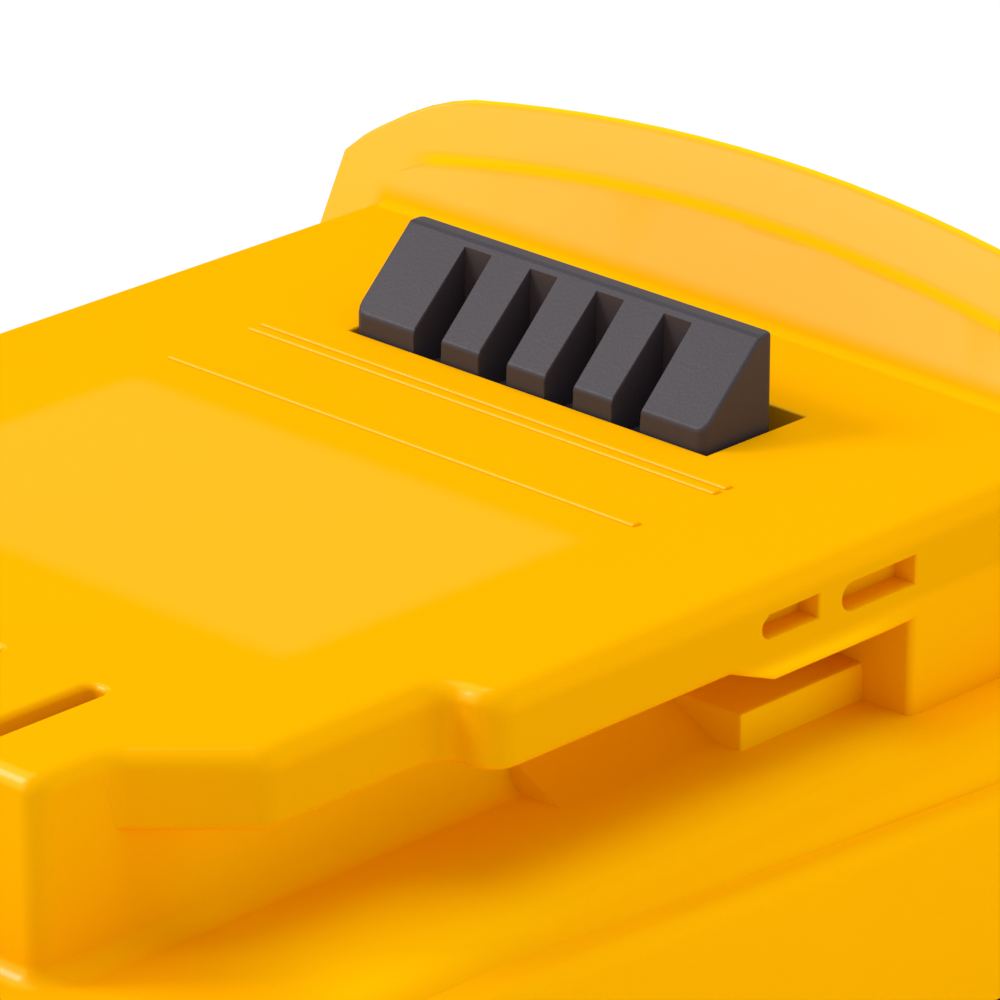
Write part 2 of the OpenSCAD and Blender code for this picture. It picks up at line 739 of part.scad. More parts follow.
// Block with a forked contact's pocket behind each slot
pocket_w = 4.4;
module terminal_block() color(charcoal) difference() {
    front = 1.5;
    box([-board_w / 2, board_y, board_top], [board_w / 2, block_end, deck_under - fit_gap]);
    for (x = slot_xs) {
        box([x - slot_w / 2, board_y - over, deck_z - slot_depth],
            [x + slot_w / 2, block_end - 2 * front, deck_z]);
        box([x - pocket_w / 2, board_y + front, board_top - over],
            [x + pocket_w / 2, block_end - front, deck_z]);
    }
}

// Forked contact: back, two leaves that pinch near the mouth, and flared tips
contact_t = 0.5;
contact_end_gap = 2;
contact_side_gap = 0.3;
contact_top_gap = 1.2;
contact_bend = 4.5;
contact_pinch = 1.6;
contact_pinch_x = 0.35;
contact_tip_x = 1;
module contact(x) color([0.80, 0.55, 0.30]) {
    t = contact_t;
    y1 = block_end - contact_end_gap;
    y0 = board_y + contact_end_gap;
    bend_y = y0 + contact_bend;
    pinch_y = y0 + contact_pinch;
    leaf_x = pocket_w / 2 - contact_side_gap;
    pinch_x = contact_pinch_x;
    tip_x = contact_tip_x;
    h = deck_under - board_top - contact_top_gap;
    half = [[leaf_x, y1], [leaf_x, bend_y], [pinch_x + t, pinch_y], [tip_x + t, y0], [tip_x, y0],
        [pinch_x, pinch_y], [leaf_x - t, bend_y], [leaf_x - t, y1 - t]];
    translate([x, 0, board_top]) linear_extrude(h) polygon(concat(half, mirrored(half)));
}

// Bead in the valley between two cells, with its legs up to the board
module temperature_sensor() color("black") {
    y = cell_y(1.5);
    r = 1.2;
    leg_r = 0.3;
    bead_l = 4;
    rest = sqrt(pow(cell_d / 2 + r + fit_gap, 2) - pow(pitch / 2, 2));
    translate([0, y, cell_z + rest]) {
        rotate([0, 90, 0]) cylinder(r = r, h = bead_l, center = true);
        for (x = [-1, 1]) translate([x * bead_l / 4, 0, 0]) cylinder(r = leg_r, h = board_z - cell_z - rest);
    }
}

// Flat ribbon from the rear links to the board's end
ribbon_t = 0.2;
module sense_ribbon() color("peru") {
    z0 = board_z;
    y0 = board_y + board_l;
    spine = 3;
    arm_w = 3;
    lap = 3;
    left_y = cell_y(3);
    box([-spine, y0, z0], [spine, left_y + arm_w / 2, z0 + ribbon_t]);
    box([-tab_short - lap, left_y - arm_w / 2, z0], [0, left_y + arm_w / 2, z0 + ribbon_t]);
    box([0, link_tab_y - arm_w / 2, z0], [cell_l / 2 + strip_t, link_tab_y + arm_w / 2, z0 + ribbon_t]);
}

module gauge_ribbon() color("peru") {
    x0 = 6;
    w = 6;
    z0 = board_z + ribbon_t + spring_seat;
    y1 = gauge_board_y;
    box([x0, board_y + board_l, z0], [x0 + w, y1, z0 + ribbon_t]);
    box([x0, y1 - ribbon_t, gauge_z], [x0 + w, y1, z0 + ribbon_t]);
}

module gauge_board() color(board_green)
    box([-gauge_board_w / 2, gauge_board_y, wall],
        [gauge_board_w / 2, gauge_board_y + board_t, parting_z - bite]);

// Three lights behind the lens and the switch behind the button
module gauge_lights() color("mintcream") {
    y0 = gauge_board_y + board_t;
    light = [2, 0.7, 1.6];
    light_step = 5;
    switch_d = 3.5;
    for (i = [-1 : 1]) translate([gauge_x + i * light_step, y0, gauge_z]) {
        translate([-light.x / 2, 0, -light.z / 2]) cube(light);
        translate([0, light.y, 0]) rotate([-90, 0, 0]) cylinder(d = light.z - slide_gap, h = switch_h);
    }
    translate([gauge_button_x, y0, gauge_z]) rotate([-90, 0, 0]) cylinder(d = switch_d, h = switch_h);
}

module gauge_lens() color([0.9, 0.9, 0.88]) {
    y_in = y_rear - wall;
    w = lens_w / 2;
    h = lens_h / 2;
    w_lip = w + flange_lip;
    h_lip = h + flange_lip;
    box([gauge_x - w, y_in - flange_lip, gauge_z - h], [gauge_x + w, y_rear - lens_gap, gauge_z + h]);
    box([gauge_x - w_lip, y_in - flange_lip, gauge_z - h_lip], [gauge_x + w_lip, y_in, gauge_z + h_lip]);
}

// Push button: cap with a dished face level with the wall, and a flange that keeps it inside
module gauge_button() color(charcoal) {
    r = gauge_d / 2;
    edge = 0.4;
    h = wall + slide_gap - edge - lens_gap;
    dish_r = 1.2;
    translate([gauge_button_x, gauge_flange_y, gauge_z]) rotate([-90, 0, 0]) rotate_extrude()
        polygon([[0, -flange_lip], [r + flange_lip, -flange_lip], [r + flange_lip, 0], [r, 0], [r, h],
            [r - edge, h + edge], [dish_r, h + edge], [0, h]]);
}

upper_housing();
lower_housing();
housing_screws();
release_latch();
latch_spring(-1);  // latch_spring_left
latch_spring(1);  // latch_spring_right
cell(0);  // cell_1
cell(1);  // cell_2
cell(2);  // cell_3
cell(3);  // cell_4
cell(4);  // cell_5
cell_insulators();
cell_holder(-1);  // cell_holder_left
cell_holder(1);  // cell_holder_right
strip(-1, cell_y(0), cell_y(0), cell_y(0), tab_under);  // strip_negative
strip(1, cell_y(0), cell_y(1), cell_y(0.5), tab_under);  // strip_1_2
strip(-1, cell_y(1), cell_y(2), cell_y(1.5), tab_under);  // strip_2_3
strip_3_4();
strip(-1, cell_y(3), cell_y(4), cell_y(3), tab_short);  // strip_4_5
strip_positive();
insulation(-1);  // insulation_left
insulation(1);  // insulation_right
cell_foam();
control_board();
board_parts();
terminal_block();
contact(slot_xs[0]);  // contact_negative
contact(slot_xs[1]);  // contact_signal_1
contact(slot_xs[2]);  // contact_signal_2
contact(slot_xs[3]);  // contact_positive
temperature_sensor();
sense_ribbon();
gauge_button();
gauge_lens();
gauge_board();
gauge_lights();
gauge_ribbon();
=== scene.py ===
import json
import math

import bmesh
import bpy
from mathutils import Matrix, Vector


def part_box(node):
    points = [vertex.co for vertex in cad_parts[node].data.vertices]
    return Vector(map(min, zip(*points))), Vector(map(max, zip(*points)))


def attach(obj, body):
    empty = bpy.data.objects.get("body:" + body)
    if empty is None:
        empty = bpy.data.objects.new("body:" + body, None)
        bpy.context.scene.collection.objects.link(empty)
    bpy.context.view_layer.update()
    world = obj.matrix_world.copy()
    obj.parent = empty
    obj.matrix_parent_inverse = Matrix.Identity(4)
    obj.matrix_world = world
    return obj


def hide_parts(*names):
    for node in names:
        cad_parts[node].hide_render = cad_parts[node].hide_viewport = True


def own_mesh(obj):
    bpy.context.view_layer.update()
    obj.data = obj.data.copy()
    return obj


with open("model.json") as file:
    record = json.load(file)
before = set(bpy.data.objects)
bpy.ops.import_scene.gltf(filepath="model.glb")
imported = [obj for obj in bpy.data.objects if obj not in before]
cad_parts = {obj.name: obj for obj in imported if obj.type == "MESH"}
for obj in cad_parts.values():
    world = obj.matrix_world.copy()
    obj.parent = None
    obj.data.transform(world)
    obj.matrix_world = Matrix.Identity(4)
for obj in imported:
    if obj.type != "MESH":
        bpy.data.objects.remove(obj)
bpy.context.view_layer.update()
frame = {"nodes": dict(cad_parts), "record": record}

bl_info = {
    "name": "Slide battery pack",
    "version": (1, 0, 0),
    "blender": (4, 5, 0),
    "location": "View3D > Sidebar > Battery pack",
    "description": "Dresses a slide-on tool battery pack and sets it in a plain studio",
    "category": "Object",
}

MM = 0.001


def box_of(node):
    """The low and high corner of a node's box, in millimetres."""
    return [Vector(corner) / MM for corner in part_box(node)]


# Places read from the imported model, in millimetres
MOUNTS = {m["name"]: Vector(m["pos_m"]) / MM for m in frame["record"]["mounts"]}
OPENINGS = {o["name"]: [Vector(c) / MM for c in o["box_m"]] for o in frame["record"]["physics"]["openings"]}
SHELL_LOW, SHELL_HIGH = box_of("upper_housing")
LATCH_LOW, LATCH_HIGH = box_of("release_latch")
RAIL_GAP = 0.3
NECK_Y = MOUNTS["tool_rail"].y
NECK_X = OPENINGS["groove_front_right"][0].x - RAIL_GAP
SHOULDER_Z = OPENINGS["groove_front_right"][0].z - RAIL_GAP
BLOCK_Y = OPENINGS["groove_rear_right"][1].y + RAIL_GAP
FLANGE_Z = MOUNTS["tool_rail"].z
PARTING_Z = SHELL_LOW.z
TOOTH_Y = LATCH_LOW.y

# Rail with its lead-in, flange and groove, in millimetres
FLANGE_T = 4.65
FLANGE_REAR_T = 6.1
FLANGE_X = 26.3
DECK_X = 30.0
DECK_Z = FLANGE_Z + FLANGE_T
LEAD_Y = NECK_Y + 5.5
LEAD_END = LEAD_Y + FLANGE_X - NECK_X
RAMP_Y = NECK_Y + 35.5
GROOVE_STEP_H = 2.3

# Terminal slots and the pockets in the flange, in millimetres
SLOT_END = NECK_Y + 11.4
SLOT_FOOT = DECK_Z - 9.5
SLOT_HALF = 1.2
SLOT_PLACES = (5.5, 13.7)
POCKET_FRONT, POCKET_REAR = NECK_Y + 46.2, NECK_Y + 58.8
POCKET_LOW, POCKET_HIGH = DECK_Z - 4.0, DECK_Z - 1.8

# Hump with its leaning face, shallow field and arched crown, in millimetres and radians
HUMP_X = 33.2
HUMP_Y = NECK_Y + 75
HUMP_END = SHELL_HIGH.y - 7
HUMP_REAR = HUMP_END - 8
HUMP_LOW = DECK_Z + 1
HUMP_LEAN = math.radians(27.5)
HUMP_TILT = math.radians(39)
CROWN_R = 140
CROWN_X = HUMP_X - 8.9
SHOULDER_EASE = 0.5
FIELD_X = 28.5
FIELD_Z = SHELL_HIGH.z - 3.8
FIELD_DEPTH = 0.4
FIELD_RIM = (-0.35, 0.05)
FIELD_BEND = math.cos(HUMP_LEAN) / math.cos(HUMP_TILT - HUMP_LEAN) / (2 * CROWN_R)

# Latch, the openings round it and its springs, lengths in millimetres
SLIDE_GAP = 0.3
SEEN_GAP = 0.1
TOOTH_X = 14.25
TOOTH_BACK = TOOTH_Y + 5.9
TOOTH_RIB, TOOTH_SLOT = 3.15, 2.25
TOOTH_WALLS = [TOOTH_RIB / 2 + i * (TOOTH_RIB + TOOTH_SLOT) + j * TOOTH_SLOT for i in (0, 1) for j in (0, 1)]
WELL_MARGIN = 0.5
WELL_END = HUMP_Y - 5
BUTTON_Y = NECK_Y + 88.8
WINDOW_X = 15.0
WINDOW_FRONT, WINDOW_REAR = BUTTON_Y - 0.5, BUTTON_Y + 10.5
SPRING_WIRE = 0.7
SPRING_TURNS = 6.5
SPRING_END_PITCH = 0.74
SPRING_TURN_STEPS = 32
SPRING_SIDES = 12

# Shells, rules on the deck and gauge, in millimetres
CORNER_R = 9.0
PANEL_BEND_Y = SHELL_LOW.y + 28
PANEL_Z = SHOULDER_Z - 0.7
PANEL_LOW = PARTING_Z + 2
PANEL_DROP = 4.1
PANEL_RUN = SHELL_HIGH.y + 1 - PANEL_BEND_Y
PARTING_DROP = 1.1
RULE_SIZE = (38, 0.7, 0.4)
RULE_SINK = 0.03
RULE_PLACES = (NECK_Y + 47.4, NECK_Y + 54.1, NECK_Y + 55.1)
LIGHT_STEP = 5.0

# Places along Y where the upper shell's flat faces are parted, each across an opening, in millimetres
SHELL_CUTS = (NECK_Y + 48.9, NECK_Y + 56.5, TOOTH_Y + 3.4, BUTTON_Y + 5)

# Bands and fades of the finishes, in millimetres. Besides the smooth panel and the sleeves' bare ends, they
# bound painted light on the yellow shell: painted sheen, painted highlights, painted fill light in the groove
# and painted shade on the flange's side
SMOOTH_X = (17, 19)
SMOOTH_Y = (NECK_Y + 20.5, NECK_Y + 43.5)
SMOOTH_Z = (DECK_Z - 0.6, DECK_Z - 0.1)
FOOT_X = (DECK_X - 1.5, DECK_X)
FOOT_Y = (HUMP_Y - 2.5, HUMP_Y - 1.5)
FOOT_Z = (DECK_Z + 0.5, DECK_Z + 1.6)
RIDGE_Z = (SHELL_HIGH.z - 0.6, SHELL_HIGH.z - 0.2)
BORDER_X = (25.5, 28.3)
BORDER_Z = (FIELD_Z - 0.35, FIELD_Z + 0.5)
GROOVE_X = (DECK_X + 2, DECK_X + 5)
GROOVE_Z = (SHOULDER_Z - 0.5, FLANGE_Z - 0.4)
GROOVE_FRONT = (LEAD_Y, LEAD_Y + 8)
GROOVE_REAR = (BLOCK_Y - 6, BLOCK_Y + 1)
SIDE_Z = (FLANGE_Z, DECK_Z - 1.2)
SLEEVE_END = (31.3, 31.5)

# Turn of the wave that makes the ribbons' tracks, in radians per millimetre
RIBBON_TURN = 7.0

# Fades by the direction that a surface faces, which steer the coat, the painted sheen and highlights, and the
# painted shade on the flange's side
LEANS_FORWARD = (-0.15, -0.4)
TURNS_ASIDE = (0.15, 0.38)
FACES_ASIDE = (0.5, 0.9)

# Limits for what counts as joined and near, in millimetres
JOIN = 0.001
NEAR = 0.02
WALL_NEAR = 0.1

# Limits for what counts as flat and sharp between faces, in radians
FLAT = math.radians(0.2)
SHARP = math.radians(35)

# Least turns of the edges that are rounded, in degrees
SLIGHT = 20
LATCH_TURN = 25
BLUNT = 40
SQUARE = 60

# Limits for the way that an edge runs and its faces look
STEEP = 0.9
LEVEL = 0.02
FACES_UP = 0.4
FACES_BACK = 0.5


class Socket:
    """One value in a material, with arithmetic that adds the nodes it needs."""

    def __init__(self, finish, source):
        self.finish = finish
        self.source = source

    def math(self, operation, first, second=0):
        """A Math node on two values, either of which may be a plain number."""
        return self.finish.node("ShaderNodeMath", {"operation": operation}, {0: first, 1: second})

    def __add__(self, other):
        return self.math("ADD", self, other)

    def __sub__(self, other):
        return self.math("SUBTRACT", self, other)

    def __rsub__(self, other):
        return self.math("SUBTRACT", other, self)

    def __mul__(self, other):
        return self.math("MULTIPLY", self, other)

    def __abs__(self):
        return self.math("ABSOLUTE", self)

    __radd__ = __add__
    __rmul__ = __mul__


class Finish:
    """A material in the making: its nodes, its main shader and short ways to add to them."""

    def __init__(self, name, colour, roughness, **constants):
        self.material = bpy.data.materials.new(name)
        self.material.use_nodes = True
        self.tree = self.material.node_tree
        self.shader = next(n for n in self.tree.nodes if n.type == "BSDF_PRINCIPLED")
        self.set("Base Color", (*colour, 1))
        self.set("Roughness", roughness)
        for socket, value in constants.items():
            self.set(socket.replace("_", " "), value)

    def node(self, kind, settings, sockets, out=0):
        """Adds a node: its settings first, then the values or links of its sockets."""
        made = self.tree.nodes.new(kind)
        for key, value in settings.items():
            setattr(made, key, value)
        for key, value in sockets.items():
            self.plug(self.find(made.inputs, key), value)
        return Socket(self, self.find(made.outputs, out))

    @staticmethod
    def find(sockets, key):
        """A socket by its place, its identifier or its name."""
        if isinstance(key, int):
            return sockets[key]
        return next((s for s in sockets if s.identifier == key), None) or sockets[key]

    def plug(self, socket, value):
        """Links a value that varies, or sets one that doesn't."""
        if isinstance(value, Socket):
            self.tree.links.new(value.source, socket)
        elif hasattr(socket.default_value, "__len__") and len(value) < len(socket.default_value):
            socket.default_value = (*value, 1)
        else:
            socket.default_value = value

    def set(self, socket, value):
        """Sets or feeds a socket of the main shader."""
        self.plug(self.shader.inputs[socket], value)

    def place(self):
        """The point on the part, in its own frame."""
        return self.node("ShaderNodeTexCoord", {}, {}, "Object")

    def split(self, vector):
        """The three parts of a vector."""
        return [self.node("ShaderNodeSeparateXYZ", {}, {0: vector}, i) for i in range(3)]

    def axes(self):
        """X, Y and Z on the part, in millimetres."""
        scaled = self.node("ShaderNodeVectorMath", {"operation": "SCALE"},
                           {0: self.place(), "Scale": 1 / MM})
        return self.split(scaled)

    def facing(self):
        """X, Y and Z of the direction that the surface faces."""
        return self.split(self.node("ShaderNodeNewGeometry", {}, {}, "Normal"))

    def noise(self, size, detail=2.0, stretch=(1, 1, 1)):
        """Noise from 0 to 1 whose grain has about this size in millimetres, stretched along the axes."""
        where = self.node("ShaderNodeVectorMath", {"operation": "DIVIDE"}, {0: self.place(), 1: stretch})
        return self.node("ShaderNodeTexNoise", {},
                         {"Vector": where, "Scale": 1 / (size * MM), "Detail": detail})

    def cells(self, size):
        """Distance from the middle of irregular cells of about this size in millimetres."""
        return self.node("ShaderNodeTexVoronoi", {},
                         {"Vector": self.place(), "Scale": 1 / (size * MM)}, "Distance")

    def step(self, value, low, high):
        """Rises smoothly from 0 at low to 1 at high."""
        return self.node("ShaderNodeMapRange", {"interpolation_type": "SMOOTHSTEP"},
                         {"Value": value, "From Min": low, "From Max": high})

    def fall(self, value, low, high):
        """Falls smoothly from 1 at low to 0 at high."""
        return 1 - self.step(value, low, high)

    def within(self, value, low, high, soft):
        """1 between low and high, fading to 0 over a soft margin."""
        return self.step(value, low - soft, low + soft) * self.fall(value, high - soft, high + soft)

    def blend(self, share, first, second):
        """A colour between two, by a share from 0 to 1."""
        return self.node("ShaderNodeMix", {"data_type": "RGBA"},
                         {"Factor_Float": share, "A_Color": first, "B_Color": second}, "Result_Color")

    def bump(self, height, depth):
        """Feeds the normal with a relief of this depth in millimetres."""
        self.set("Normal", self.node("ShaderNodeBump", {}, {"Height": height, "Distance": depth * MM}))


def shade(colour, factor):
    """A colour made lighter or darker."""
    return tuple(min(1.0, factor * c) for c in colour)


def satin_yellow_painted_light(colours):
    """Moulded yellow with a dull grain, smoother and coated on the deck's panel and where a face leans
    forward. Its colour
    holds painted light: a paler painted sheen where it is smooth, painted highlights along the hump's lines,
    painted fill light in the rail's groove and painted shade on the flange's side."""
    made = Finish("satin_yellow_painted_light", colours.housing, roughness=0.5, Specular_IOR_Level=0.0, Coat_Roughness=0.25)
    x, y, z = made.axes()
    nx, ny, nz = made.facing()
    aside, turned = abs(x), abs(nx)
    level = z + x * x * FIELD_BEND
    panel = made.fall(aside, *SMOOTH_X) * made.within(y, *SMOOTH_Y, soft=1.2) * made.step(z, *SMOOTH_Z)
    # The hump's foot: free of the painted sheen, with a little painted highlight that stands in for the
    # reflection of the deck's yellow
    foot = made.fall(aside, *FOOT_X) * made.step(y, *FOOT_Y) * made.fall(z, *FOOT_Z)
    # Painted highlight: a brighter line along the hump's ridge, kept free of the sheen
    ridge = made.step(level, *RIDGE_Z)
    # Faces that lean forward and up: they get the coat and also the painted sheen and painted highlights
    forward = made.step(ny * nz, *LEANS_FORWARD) * made.fall(turned, *TURNS_ASIDE)
    # Painted highlight: a brighter band along the rim of the hump's shallow field, whose sloped wall is
    # shaded as if flat
    field_rim_highlight = made.within(level, *BORDER_Z, soft=0.3) * made.fall(aside, *BORDER_X) * forward
    # smooth is the share of the real smoother, coated finish and also of the painted sheen, a paler yellow,
    # on the deck's panel and on faces that lean forward
    smooth = panel * 0.4 + forward * (1 - field_rim_highlight) * (1 - foot) * (1 - ridge)
    # Painted fill light: a paler yellow in the rail's groove under the flange, where shade falls
    groove = made.within(z, *GROOVE_Z, soft=0.4) * made.fall(aside, *GROOVE_X) \
        * made.step(y, *GROOVE_FRONT) * made.fall(y, *GROOVE_REAR)
    # Painted shade: the flange's side, where it faces aside, is made deeper
    side = made.within(z, *SIDE_Z, soft=0.4) * made.step(y, LEAD_Y, LEAD_END) \
        * made.step(turned, *FACES_ASIDE)
    grain = made.noise(size=0.22, detail=3)
    patches = made.noise(size=9)
    tone = made.blend(patches * 0.3, colours.housing, colours.housing_deep)
    # Painted fill light in the groove
    tone = made.blend(groove, tone, colours.housing_painted_fill)
    # Painted shade on the flange's side
    tone = made.blend(side * 0.8, tone, shade(colours.housing, 0.88))
    # Painted highlights: a brighter yellow on the field's rim, along the ridge and, weakly, on the hump's
    # foot as a painted reflection of the deck
    tone = made.blend(field_rim_highlight + ridge + foot * forward * 0.35, tone, colours.housing_painted_highlight)
    # Painted sheen: the smooth places get a paler yellow, standing in for the reflection on them
    made.set("Base Color", made.blend(smooth, tone, colours.housing_painted_sheen))
    made.set("Roughness", 0.54 - smooth * 0.14 + grain * 0.06)
    made.set("Coat Weight", smooth * 0.45)
    made.bump(grain * (1 - smooth * 0.7), depth=0.008)
    return made.material


def dark_plastic(name, colour, grain_size=0.18):
    """Moulded plastic with a fine even grain."""
    made = Finish(name, colour, roughness=0.4, Specular_IOR_Level=0.25)
    grain = made.noise(grain_size, detail=3)
    patches = made.noise(size=6)
    made.set("Base Color", made.blend(patches * 0.5, colour, shade(colour, 1.35)))
    made.set("Roughness", 0.36 + grain * 0.14)
    made.bump(grain, depth=0.010)
    return made.material


def metal(name, colour, roughness, stretch=(1, 1, 1)):
    """Bare or coated metal with a fine grain, which can be stretched along the axes."""
    made = Finish(name, colour, roughness, Metallic=1.0)
    grain = made.noise(size=0.12, detail=3, stretch=stretch)
    made.set("Base Color", made.blend(grain * 0.35, colour, shade(colour, 0.6)))
    made.set("Roughness", roughness - 0.06 + grain * 0.16)
    made.bump(grain, depth=0.004)
    return made.material


def shrink_sleeve(colours):
    """A cell's glossy sleeve, with its bare steel ends."""
    made = Finish("cell_sleeve", colours.sleeve, roughness=0.3)
    x = made.axes()[0]
    bare = made.step(abs(x), *SLEEVE_END)
    creases = made.noise(size=1.4, stretch=(6, 1, 1))
    sleeve = made.blend(creases * 0.4, colours.sleeve, shade(colours.sleeve, 0.7))
    made.set("Base Color", made.blend(bare, sleeve, colours.steel))
    made.set("Metallic", bare)
    made.set("Roughness", 0.28 + creases * 0.12)
    made.bump(creases, depth=0.03)
    return made.material


def pressed_paper(colours):
    """Off-white insulating paper with short fibres."""
    made = Finish("pressed_paper", colours.paper, roughness=0.85)
    fibres = made.noise(size=0.5, detail=4, stretch=(1, 5, 1))
    made.set("Base Color", made.blend(fibres, shade(colours.paper, 0.82), colours.paper))
    made.bump(fibres, depth=0.02)
    return made.material


def closed_foam(colours):
    """Dark foam with small pores."""
    made = Finish("closed_foam", colours.foam, roughness=0.9)
    pores = made.cells(size=0.5)
    # Painted shade: each pore is darker at its middle, where the bump sinks it
    made.set("Base Color", made.blend(pores, shade(colours.foam, 0.5), shade(colours.foam, 1.3)))
    made.bump(pores, depth=0.06)
    return made.material


def coated_board(colours):
    """Green coated board whose copper tracks show through as paler bands."""
    made = Finish("coated_board", colours.board, roughness=0.3)
    tracks = made.step(made.noise(size=1.6, detail=0, stretch=(1, 7, 1)), low=0.50, high=0.54)
    made.set("Base Color", made.blend(tracks, colours.board, shade(colours.board, 1.9)))
    made.set("Roughness", 0.32 - tracks * 0.08)
    made.bump(tracks, depth=0.03)
    return made.material


def flat_ribbon(colours):
    """Amber film over copper tracks that run along the pack."""
    made = Finish("flat_ribbon", colours.ribbon, roughness=0.35)
    x = made.axes()[0]
    wave = x.math("SINE", x * RIBBON_TURN)
    tracks = made.step(wave, low=0.1, high=0.4)
    made.set("Base Color", made.blend(tracks, shade(colours.ribbon, 0.55), colours.ribbon))
    made.set("Roughness", 0.38 - tracks * 0.12)
    return made.material


def milky_plastic(name, colour):
    """Milky moulded plastic, a little uneven in depth, and the finish in the making."""
    made = Finish(name, colour, roughness=0.22)
    depth = made.noise(size=2.5, detail=1)
    made.set("Roughness", 0.18 + depth * 0.1)
    return made, made.blend(depth, shade(colour, 0.85), colour)


def unlit_light(colours):
    """The gauge's lights."""
    made, milk = milky_plastic("gauge_light_plastic", colours.light)
    made.set("Base Color", milk)
    return made.material


def gauge_window(colours):
    """The gauge's lens, through which three unlit lights show faintly."""
    made, milk = milky_plastic("gauge_lens_plastic", colours.lens)
    low, high = box_of("gauge_lens")
    middle = (low + high) / 2
    x, _, z = made.axes()
    up = z - middle.z
    for i in (-1, 0, 1):
        across = x - (middle.x + i * LIGHT_STEP)
        spot = made.fall(across * across + up * up, low=0.5, high=2.0)
        milk = made.blend(spot * 0.7, milk, shade(colours.light, 0.55))
    made.set("Base Color", milk)
    return made.material


def blank_shell(node, *cuts):
    """A node's mesh with its corners joined and its flat faces whole, but parted along a line at each Y."""
    bm = bmesh.new()
    bm.from_mesh(frame["nodes"][node].data)
    bmesh.ops.remove_doubles(bm, verts=bm.verts, dist=JOIN * MM)
    for y in cuts:
        parted = bmesh.ops.bisect_plane(bm, geom=[*bm.verts, *bm.edges, *bm.faces], dist=JOIN * MM,
                                        plane_co=(0, y * MM, 0), plane_no=(0, 1, 0))["geom_cut"]
        for edge in parted:
            if isinstance(edge, bmesh.types.BMEdge):
                edge.seam = True
    bmesh.ops.dissolve_limit(bm, angle_limit=FLAT, verts=bm.verts, edges=bm.edges, delimit={"SEAM"})
    return bm


class Edge:
    """What a rounding rule looks at: an edge's middle in millimetres, its direction and how it turns."""

    def __init__(self, edge):
        first, second = (v.co / MM for v in edge.verts)
        span = second - first
        self.x, self.y, self.z = (first + second) / 2
        self.side = abs(self.x)
        self.upright = abs(span.z) > STEEP * span.length
        self.level = abs(span.z) < LEVEL * span.length
        self.turn = math.degrees(edge.calc_face_angle_signed(0))
        self.outward = self.turn > 0
        self.top = max(f.normal.z for f in edge.link_faces)
        self.back = max(f.normal.y for f in edge.link_faces)

    def on(self, x=None, y=None, z=None):
        """Whether its middle lies at these places, on either side of the part."""
        pairs = ((self.side, x), (self.y, y), (self.z, z))
        return all(want is None or abs(have - want) < NEAR for have, want in pairs)

    def rim(self, half=SHELL_HIGH.x, end=SHELL_HIGH.y):
        """Whether it lies on the outer wall of a round-cornered plan."""
        out = math.hypot(max(self.side - half + CORNER_R, 0), max(abs(self.y) - end + CORNER_R, 0))
        return abs(out - CORNER_R) < WALL_NEAR


def round_edges(bm, width, test, segments=3, least=SLIGHT):
    """Rounds the edges that pass a test, convex and concave alike, over a width in millimetres.
    An edge that turns by less than the least angle, in degrees, stays."""
    def sharp(edge):
        return len(edge.link_faces) == 2 and abs(edge.calc_face_angle_signed(0)) > math.radians(least)

    chosen = [e for e in bm.edges if sharp(e) and test(Edge(e))]
    bmesh.ops.bevel(bm, geom=chosen, offset=width * MM, offset_type="OFFSET", segments=segments,
                    profile=0.5, affect="EDGES", clamp_overlap=False, loop_slide=True,
                    miter_outer="SHARP", miter_inner="SHARP")


def on_parting(e):
    """Whether an edge runs along the outer rim of the joint between the shells."""
    return e.turn > SQUARE and e.rim() and e.on(z=PARTING_Z)


def lower_parting(bm, width):
    """Lowers a shell's edge along the parting line, with its rounding of this width."""
    for vert in bm.verts:
        if abs(vert.co.z / MM - PARTING_Z) < width + NEAR:
            vert.co.z -= PARTING_DROP * MM


def corner_normals(bm):
    """A shading normal for each face corner, led by the larger of the faces that meet there smoothly."""
    pulls = {face: face.normal * (face.calc_area() / MM ** 2) ** 2 for face in bm.faces}
    for face in bm.faces:
        for loop in face.loops:
            near = [f for f in loop.vert.link_faces if f.normal.angle(face.normal, 0) < SHARP]
            yield sum((pulls[f] for f in near), Vector()).normalized()


def piece_from(bm, name, material, body, node):
    """Makes a smooth-shaded piece of a bmesh, which stands for a node and rides on its body."""
    bmesh.ops.recalc_face_normals(bm, faces=bm.faces)
    mesh = bpy.data.meshes.new(name)
    bm.to_mesh(mesh)
    mesh.polygons.foreach_set("use_smooth", [True] * len(mesh.polygons))
    mesh.normals_split_custom_set(list(corner_normals(bm)))
    bm.free()
    mesh.materials.append(material)
    piece = bpy.data.objects.new(name, mesh)
    bpy.context.scene.collection.objects.link(piece)
    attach(piece, body)
    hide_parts(node)
    return piece


def dress(material, *nodes):
    """Gives CAD nodes a finish."""
    for name in nodes:
        mesh = frame["nodes"][name].data
        mesh.materials.clear()
        mesh.materials.append(material)


def length(name, description, default):
    """A length setting, in millimetres."""
    return bpy.props.FloatProperty(name=name, description=description + ", in millimetres", default=default,
                                   min=0.0)


def point(name, description, default):
    """A place setting, in millimetres."""
    return bpy.props.FloatVectorProperty(name=name, description=description + ", in millimetres",
                                         default=default)


def colour(name, description, default):
    """A colour setting."""
    return bpy.props.FloatVectorProperty(name=name, description=description, default=default, subtype="COLOR")


def angle(name, description, degrees):
    """An angle setting, whose default is given in degrees."""
    return bpy.props.FloatProperty(name=name, description=description, default=math.radians(degrees),
                                   subtype="ANGLE")


def power(name, description, default):
    """A light's power setting."""
    return bpy.props.FloatProperty(name=name, description=description, default=default, unit="POWER")


